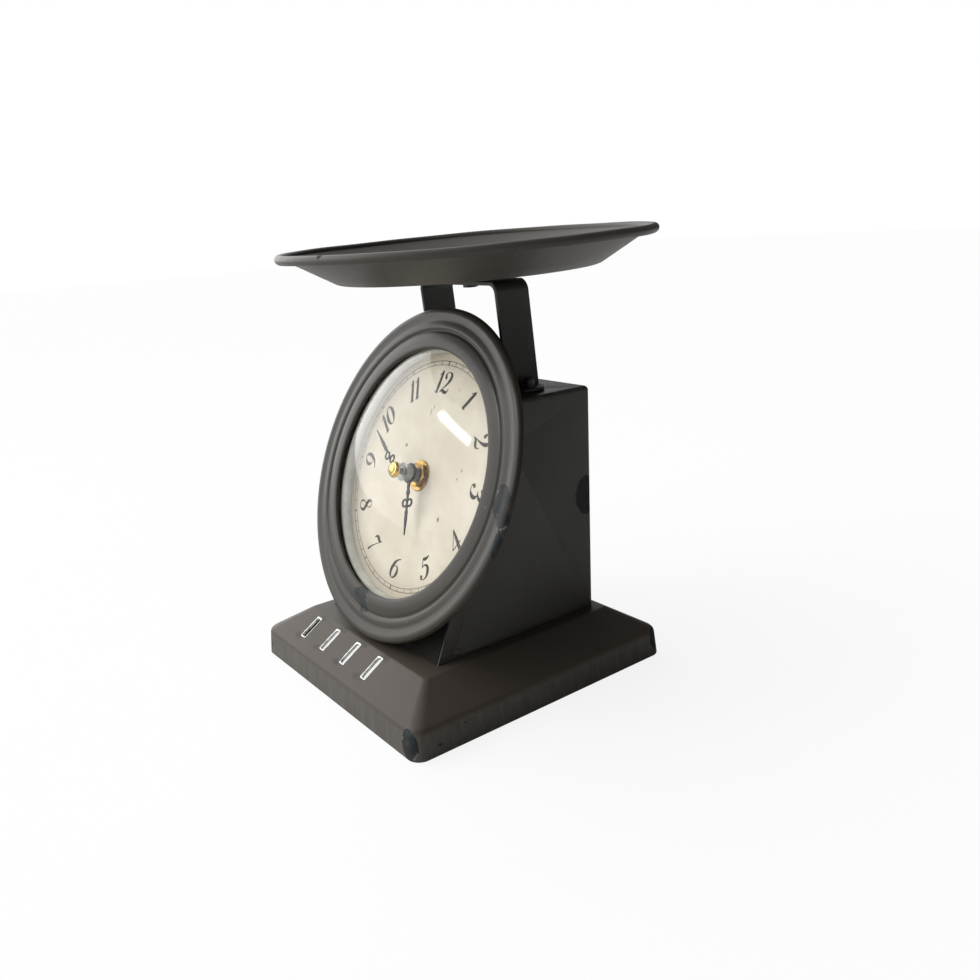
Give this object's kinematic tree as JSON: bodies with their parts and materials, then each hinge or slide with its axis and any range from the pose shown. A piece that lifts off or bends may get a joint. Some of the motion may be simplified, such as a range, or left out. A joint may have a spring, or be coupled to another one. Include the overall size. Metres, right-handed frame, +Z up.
{
  "type": "table clock shaped like a kitchen scale",
  "caption": "Table clock shaped like an old kitchen scale: square base, wedge housing, leaning round bezel with domed glass, bracket and round tray.",
  "frame": {"origin": "on the resting plane, under the middle of the overall footprint (base front edge to tray rear edge)", "axes": "+Z up; the dial faces -Y and leans back 23.3 degrees; +X is to the right of a viewer who looks at the dial"},
  "size_m": [0.201, 0.209, 0.2351],
  "materials": {
    "body_paint": "satin dark brown-grey paint",
    "bracket_paint": "satin black-brown paint",
    "fastener_steel": "plated steel",
    "lens_glass": "clear domed glass",
    "dial_wall": "pale grey paint",
    "dial_metal": "plain sheet",
    "dial_paper": "printed cream paper",
    "hand_black": "black",
    "collet_grey": "dull grey",
    "brass": "polished brass",
    "case_plastic": "moulded black plastic",
    "gear_plastic": "moulded white plastic",
    "board_green": "board",
    "copper_wire": "wound wire",
    "rubber": "black rubber",
    "battery_wrap": "plain sleeve"
  },
  "bodies": {
    "clock_body": {"base_pan": "body_paint", "housing_shell": "body_paint", "front_panel": "body_paint", "panel_rivets": "body_paint", "base_screws": "fastener_steel", "bracket_strap": "bracket_paint", "bracket_screws": "fastener_steel", "bracket_nuts": "fastener_steel", "tray": "body_paint", "tray_spacer": "bracket_paint", "tray_screw": "fastener_steel", "tray_nut": "fastener_steel", "bezel_ring": "body_paint", "lens_glass": "lens_glass", "wall_ring": "dial_wall", "dial_pan": "body_paint", "pan_screws": "fastener_steel", "dial_plate": "dial_metal", "dial_paper": "dial_paper", "movement_case": "case_plastic", "movement_cover": "case_plastic", "centre_bush": "collet_grey", "rubber_washer": "rubber", "brass_washer": "brass", "brass_nut": "brass", "stator": "fastener_steel", "coil": "copper_wire", "circuit_board": "board_green", "quartz_can": "fastener_steel", "contact_positive": "fastener_steel", "contact_negative": "fastener_steel"},
    "minute_works": {"minute_arbor": "fastener_steel", "minute_hand": "hand_black", "cap_nut": "brass"},
    "hour_works": {"hour_wheel": "gear_plastic", "hour_hand": "hand_black", "hour_collet": "collet_grey"},
    "motion_works": {"motion_wheel": "gear_plastic"},
    "knob_works": {"setting_knob": "gear_plastic"},
    "seconds_works": {"seconds_wheel": "gear_plastic"},
    "third_works": {"third_wheel": "gear_plastic"},
    "centre_works": {"centre_wheel": "gear_plastic"},
    "step_works": {"step_wheel": "gear_plastic"},
    "rotor_works": {"rotor": "gear_plastic"},
    "battery_cell": {"battery": "battery_wrap"}
  },
  "joints": [
    {"name": "minute_hand_turn", "type": "hinge", "parent": "clock_body", "child": "minute_works", "pos_m": [0, -0.03022, 0.10728], "axis": [0, -0.9184, 0.3955], "continuous": true},
    {"name": "hour_hand_turn", "type": "hinge", "parent": "clock_body", "child": "hour_works", "pos_m": [0, -0.03022, 0.10728], "axis": [0, -0.9184, 0.3955], "continuous": true},
    {"name": "motion_wheel_turn", "type": "hinge", "parent": "clock_body", "child": "motion_works", "pos_m": [0.007, -0.03022, 0.10728], "axis": [0, -0.9184, 0.3955], "continuous": true},
    {"name": "setting_knob_turn", "type": "hinge", "parent": "clock_body", "child": "knob_works", "pos_m": [0.01475, -0.03022, 0.10728], "axis": [0, -0.9184, 0.3955], "continuous": true},
    {"name": "seconds_wheel_turn", "type": "hinge", "parent": "clock_body", "child": "seconds_works", "pos_m": [-0.0068, -0.02737, 0.11389], "axis": [0, -0.9184, 0.3955], "continuous": true},
    {"name": "third_wheel_turn", "type": "hinge", "parent": "clock_body", "child": "third_works", "pos_m": [-0.0068, -0.03022, 0.10728], "axis": [0, -0.9184, 0.3955], "continuous": true},
    {"name": "centre_wheel_turn", "type": "hinge", "parent": "clock_body", "child": "centre_works", "pos_m": [0, -0.03022, 0.10728], "axis": [0, -0.9184, 0.3955], "continuous": true},
    {"name": "step_wheel_turn", "type": "hinge", "parent": "clock_body", "child": "step_works", "pos_m": [-0.0068, -0.02488, 0.11968], "axis": [0, -0.9184, 0.3955], "continuous": true},
    {"name": "rotor_turn", "type": "hinge", "parent": "clock_body", "child": "rotor_works", "pos_m": [-0.002, -0.02488, 0.11968], "axis": [0, -0.9184, 0.3955], "continuous": true},
    {"name": "battery_slide", "type": "slide", "parent": "clock_body", "child": "battery_cell", "axis": [0, 0.9184, -0.3955], "range_m": [0, 0.025]}
  ],
  "couplings": [
    {"joint": "hour_hand_turn", "follows": "minute_hand_turn", "ratio": 0.083333},
    {"joint": "motion_wheel_turn", "follows": "minute_hand_turn", "ratio": -0.33333},
    {"joint": "setting_knob_turn", "follows": "minute_hand_turn", "ratio": 0.7},
    {"joint": "third_wheel_turn", "follows": "seconds_wheel_turn", "ratio": -0.125},
    {"joint": "centre_wheel_turn", "follows": "seconds_wheel_turn", "ratio": 0.016667},
    {"joint": "step_wheel_turn", "follows": "seconds_wheel_turn", "ratio": -6},
    {"joint": "rotor_turn", "follows": "seconds_wheel_turn", "ratio": 30}
  ]
}
